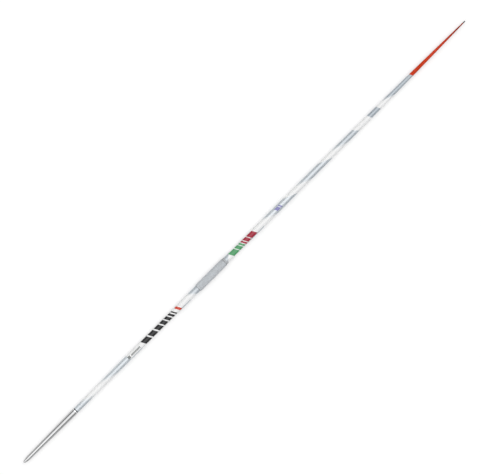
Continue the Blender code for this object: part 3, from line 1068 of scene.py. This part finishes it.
grip = {
    "tape": 0.0003,
    "tapeInside": javelin["shaftWidth"] / 2 + javelin["bondGap"],
    "tapeEnd": 0.62,  # where the tape's end lies, as a share of a turn from straight down
    "tapeStep": 0.00011,
    "tapeEdge": 0.0001,
}


def tapeOutline(front, rear, steps):
    inside, outside, edge = grip["tapeInside"], grip["tapeInside"] + grip["tape"], grip["tapeEdge"]
    outline = rounded((front, outside), (front, inside), (rear, outside), edge)
    outline += [(front + (rear - front) * i / steps, outside) for i in range(1, steps)]
    outline += rounded((rear, outside), (front, outside), (rear, inside), edge)
    return [*outline, (rear, inside), (front, inside)]


def lap(radius, turn):
    # the outer layer of the band climbs over the one below, and steps down at its end
    if radius < grip["tapeInside"] + grip["tape"] / 2:
        return radius
    return radius - grip["tapeStep"] * (1 - (turn - grip["tapeEnd"]) % 1.0)


def makeUnderTape():
    front, rear = javelin["gripStart"], javelin["gripStart"] + javelin["cordLength"]
    outline = tapeOutline(front, rear, 8)
    turnedPiece("under_tape", "grip_underlay", "grey_tape", outline, "underTape")


def makeBand():
    front = javelin["gripStart"] + javelin["cordLength"] + javelin["bondGap"]
    outline = tapeOutline(front, javelin["gripEnd"], 4)
    turnedPiece("rear_band", "grip_rear_band", "grey_tape", outline, "tape", sides=128, shape=lap)


def makeWinding():
    p = gripCord
    turns, sides, squareness = p["turns"], p["sides"], p["squareness"]
    perTurn = p["plaitsPerTurn"] * p["pointsPerPlait"]
    pitch = (javelin["cordLength"] - p["breadth"]) / turns
    middle, half = (p["inside"] + p["outside"]) / 2, (p["outside"] - p["inside"]) / 2
    count = turns * perTurn
    body = bmesh.new()
    rings = []
    for i in range(count + 1):
        # each end thins out and lies down on the tape
        left = min(i, count - i) / perTurn / p["endTurns"]
        full = math.sin(min(left, 1) * math.pi / 2) ** 0.5 if left > 0 else p["endFullness"]
        at = javelin["gripStart"] + p["breadth"] / 2 + pitch * i / perTurn
        ring = []
        for k in range(sides):
            cosine, sine = math.cos(2 * math.pi * k / sides), math.sin(2 * math.pi * k / sides)
            across = math.copysign(abs(cosine) ** squareness, cosine) * p["breadth"] / 2
            out = math.copysign(abs(sine) ** squareness, sine) * half
            lay = i / p["pointsPerPlait"] + abs(across) / pitch * p["plaitSlant"]
            dip = abs(lay % 1.0 * 2 - 1) ** 2  # 1 between two plaits, 0 at the crown of one
            sunk = p["plaitDepth"] * dip * max(sine, 0)
            radius = middle - half + (half + out - sunk) * full
            spot = place(at + across * (0.5 + 0.5 * full), radius, 2 * math.pi * i / perTurn)
            spot.z = max(spot.z, 0.0)  # pressed flat where it carries the javelin
            ring.append(body.verts.new(spot))
        rings.append(ring)
    layer = body.loops.layers.uv.new("OFBake")
    for i in range(count):
        for k in range(sides):
            n = (k + 1) % sides
            face = body.faces.new([rings[i][k], rings[i][n], rings[i + 1][n], rings[i + 1][k]])
            face.smooth = True
            turn, step = divmod(i, perTurn)
            for loop, (u, v) in zip(face.loops, ((0, 0), (0, 1), (1, 1), (1, 0))):
                u, v = (step + u) / perTurn, (k + v) / sides
                loop[layer].uv = onMap(u, v, turn, turns, p["margins"])
    for ring in (rings[0], rings[-1]):
        face = body.faces.new(ring)
        for loop in face.loops:
            loop[layer].uv = p["endsOnMap"]
    bmesh.ops.recalc_face_normals(body, faces=body.faces)
    mesh = bpy.data.meshes.new("wound_cord")
    body.to_mesh(mesh)
    body.free()
    mesh.materials.append(finishes["cord"])
    return dress("wound_cord", mesh, "grip_cord")


makePoint()
makeHead()
makeSlug()
print("head built")
makeFrontTube()
makeRearTube()
makeNosePlug()
makeDampers()
makeSleeve()
makeTailSpigot()
print("shaft built")
makeTail()
makeCap()
print("tail built")
makeUnderTape()
makeBand()
makeWinding()
print("grip wound")

# Floor, light and camera

studio = {
    "floor": (0.56, 0.56, 0.56),
    "floorLift": 0.415,  # brings the pale floor up to the photograph's white
    # two long boxes overhead, one within the other: place, size and light
    "boxes": [
        {"place": (0.0, 1.2, 19.2), "size": (160.0, 48.0), "light": 0.82},
        {"place": (0.0, 1.2, 19.0), "size": (160.0, 22.0), "light": 0.72},
    ],
    "sky": 0.07,
    "horizon": 0.98,
    "glow": (0.15, 0.21),  # the height, as a share, over which the white horizon turns into sky
    "floorReach": 80.0,
    "floorDrop": 0.0002,
    "backdropFrom": (6, 30),
}
# the nose and the tail in the photograph, in pixels from its upper-left corner, set the scale, the
# turn and the middle
photograph = {"wide": 481, "high": 475, "nose": (23.6, 462.8), "end": (465.0, 21.0)}
lens = {"distance": 9.0, "sensor": 36, "farthest": 200}


def makeFloor():
    mesh = bpy.data.meshes.new("floor")
    reach, black = studio["floorReach"], (0, 0, 0)
    corners = [(-1, -1), (1, -1), (1, 1), (-1, 1)]
    spots = [(x * reach, y * reach, -studio["floorDrop"]) for x, y in corners]
    mesh.from_pydata(spots, [], [(0, 1, 2, 3)])
    paper = Finish("floor paper", Roughness=0.9, Specular_IOR_Level=0.1, Emission_Strength=1.0)
    darker = tuple(0.995 * c for c in studio["floor"])
    tone = paper.mix(paper.noise(900, 2), studio["floor"], darker)
    # far away the floor turns into an even white backdrop
    length = {"operation": "LENGTH"}
    distance = paper.node("ShaderNodeVectorMath", length, {0: paper.place}, "Value")
    far = paper.ease(distance, *studio["backdropFrom"])
    tone = paper.mix(far, tone, black)
    rays = ("Is Camera Ray", "Is Glossy Ray", "Is Transmission Ray")
    seen = [paper.node("ShaderNodeLightPath", output=ray) for ray in rays]
    lift = paper.mix(far, [studio["floorLift"]] * 3, [studio["horizon"]] * 3)
    lift = paper.mix(seen[0].most(seen[1]).most(seen[2]), black, lift)
    mesh.materials.append(paper.wear(Base_Color=tone, Emission_Color=lift))
    floor = bpy.data.objects.new("floor", mesh)
    bpy.context.scene.collection.objects.link(floor)


def makeLight():
    for box in studio["boxes"]:
        lamp = bpy.data.lights.new("soft box", "AREA")
        lamp.shape = "RECTANGLE"
        lamp.size, lamp.size_y = box["size"]
        lamp.energy = box["light"] * math.pi * lamp.size * lamp.size_y
        hung = bpy.data.objects.new("soft box", lamp)
        hung.location = box["place"]
        hung.visible_camera = False
        bpy.context.scene.collection.objects.link(hung)

    world = bpy.data.worlds.new("studio")
    bpy.context.scene.world = world
    world.use_nodes = True
    sky = Nodes(world.node_tree)
    heading = sky.node("ShaderNodeTexCoord", output="Generated")
    height = sky.node("ShaderNodeSeparateXYZ", values={0: heading}, output="Z")
    glow = sky.ease(abs(height), *studio["glow"], studio["horizon"], studio["sky"])
    light = sky.node("ShaderNodeBackground", values={"Color": glow, "Strength": 1.0})
    sky.node("ShaderNodeOutputWorld", values={"Surface": light})


def makeCamera():
    wide, high = photograph["wide"], photograph["high"]
    nose, end = Vector(photograph["nose"]), Vector(photograph["end"])
    middle, run = (nose + end) / 2, end - nose
    pixel = javelin["length"] / run.length
    turn = math.atan2(-run.y, run.x)
    distance = lens["distance"]
    data = bpy.data.cameras.new("camera")
    data.sensor_width = lens["sensor"]
    data.lens = lens["sensor"] * distance / (wide * pixel)
    camera = bpy.data.objects.new("camera", data)
    across = Vector((math.cos(turn), -math.sin(turn), 0))
    upward = Vector((math.sin(turn), math.cos(turn), 0))
    offset = across * (wide / 2 - middle.x) * pixel + upward * (middle.y - high / 2) * pixel
    camera.location = Vector((noseX + javelin["length"] / 2, 0, axisZ + distance)) + offset
    camera.rotation_euler = (0, 0, -turn)
    data.clip_end = lens["farthest"]
    bpy.context.scene.collection.objects.link(camera)
    bpy.context.scene.camera = camera


makeFloor()
makeLight()
makeCamera()
bpy.context.scene.view_settings.view_transform = "Standard"
print("floor, light and camera set")
